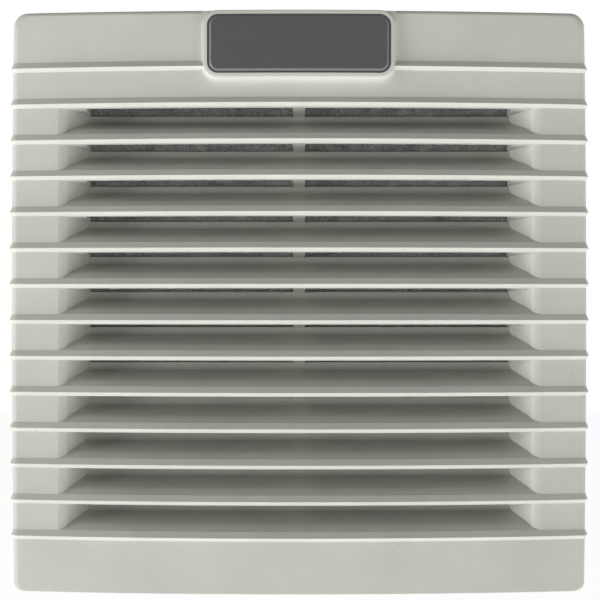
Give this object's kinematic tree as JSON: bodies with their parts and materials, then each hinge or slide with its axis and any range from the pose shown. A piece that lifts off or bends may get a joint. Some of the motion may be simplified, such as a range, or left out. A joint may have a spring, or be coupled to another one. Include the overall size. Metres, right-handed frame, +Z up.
{
  "type": "cabinet filter fan",
  "caption": "Square louvred filter fan for a cabinet door: hinged crowned cover, filter mat, snap-in frame with spring clips, and an axial fan with a wire guard behind.",
  "frame": {"origin": "centre of the square panel cut-out, in the plane of the door's outer face", "axes": "-Y out of the door towards the viewer, +Y into the cabinet along the fan's axis, +Z up, +X to the viewer's right"},
  "size_m": [0.204, 0.1104, 0.2039],
  "materials": {
    "cover_plastic": "fine moulded texture, light grey",
    "badge_plastic": "satin dark grey, bare",
    "frame_plastic": "fine moulded texture, light grey",
    "filter_fibre": "loose grey fibre",
    "seal_foam": "closed-cell black foam",
    "zinc_steel": "zinc plated",
    "spring_steel": "rolled spring strip",
    "bearing_steel": "ground",
    "core_steel": "laminated sheet",
    "cage_aluminium": "cast",
    "copper": "enamelled copper wire",
    "fan_casting": "black painted casting",
    "impeller_plastic": "black glass-filled moulding",
    "guard_wire": "bright plated wire",
    "terminal_plastic": "pale moulding"
  },
  "bodies": {
    "frame": {"base_frame": "frame_plastic", "support_grille": "frame_plastic", "door_seal": "seal_foam", "filter_mat": "filter_fibre", "fan_housing": "fan_casting", "stator_core": "core_steel", "stator_winding": "copper", "front_bearing": "bearing_steel", "rear_bearing": "bearing_steel", "finger_guard": "guard_wire", "fan_screw_1": "zinc_steel", "fan_screw_2": "zinc_steel", "fan_screw_3": "zinc_steel", "fan_screw_4": "zinc_steel", "terminal_block": "terminal_plastic", "terminal_screw_1": "zinc_steel", "terminal_screw_2": "zinc_steel", "terminal_screw_3": "zinc_steel", "clip_pin_right": "zinc_steel", "clip_pin_top": "zinc_steel", "clip_pin_left": "zinc_steel", "clip_pin_bottom": "zinc_steel"},
    "cover": {"front_cover": "cover_plastic", "badge_plate": "badge_plastic", "hinge_pin_left": "zinc_steel", "hinge_pin_right": "zinc_steel"},
    "rotor": {"impeller": "impeller_plastic", "rotor_cup": "core_steel", "rotor_cage": "cage_aluminium", "shaft": "bearing_steel", "shaft_ring": "spring_steel"},
    "right_clip": {"clip_right": "spring_steel"},
    "top_clip": {"clip_top": "spring_steel"},
    "left_clip": {"clip_left": "spring_steel"},
    "bottom_clip": {"clip_bottom": "spring_steel"}
  },
  "joints": [
    {"name": "cover_hinge", "type": "hinge", "parent": "frame", "child": "cover", "pos_m": [0, -0.011, -0.0968], "axis": [1, 0, 0], "range_deg": [0, 90]},
    {"name": "impeller_spin", "type": "hinge", "parent": "frame", "child": "rotor", "pos_m": [0, 0.06, 0], "axis": [0, 1, 0], "continuous": true},
    {"name": "right_clip_fold", "type": "hinge", "parent": "frame", "child": "right_clip", "pos_m": [0.0855, 0.02, 0], "axis": [0, 0, 1], "range_deg": [-14, 0], "stiffness_Nm_per_rad": 0.7},
    {"name": "top_clip_fold", "type": "hinge", "parent": "frame", "child": "top_clip", "pos_m": [0, 0.02, 0.0855], "axis": [-1, 0, 0], "range_deg": [-14, 0], "stiffness_Nm_per_rad": 0.7},
    {"name": "left_clip_fold", "type": "hinge", "parent": "frame", "child": "left_clip", "pos_m": [-0.0855, 0.02, 0], "axis": [0, 0, -1], "range_deg": [-14, 0], "stiffness_Nm_per_rad": 0.7},
    {"name": "bottom_clip_fold", "type": "hinge", "parent": "frame", "child": "bottom_clip", "pos_m": [0, 0.02, -0.0855], "axis": [1, 0, 0], "range_deg": [-14, 0], "stiffness_Nm_per_rad": 0.7}
  ]
}
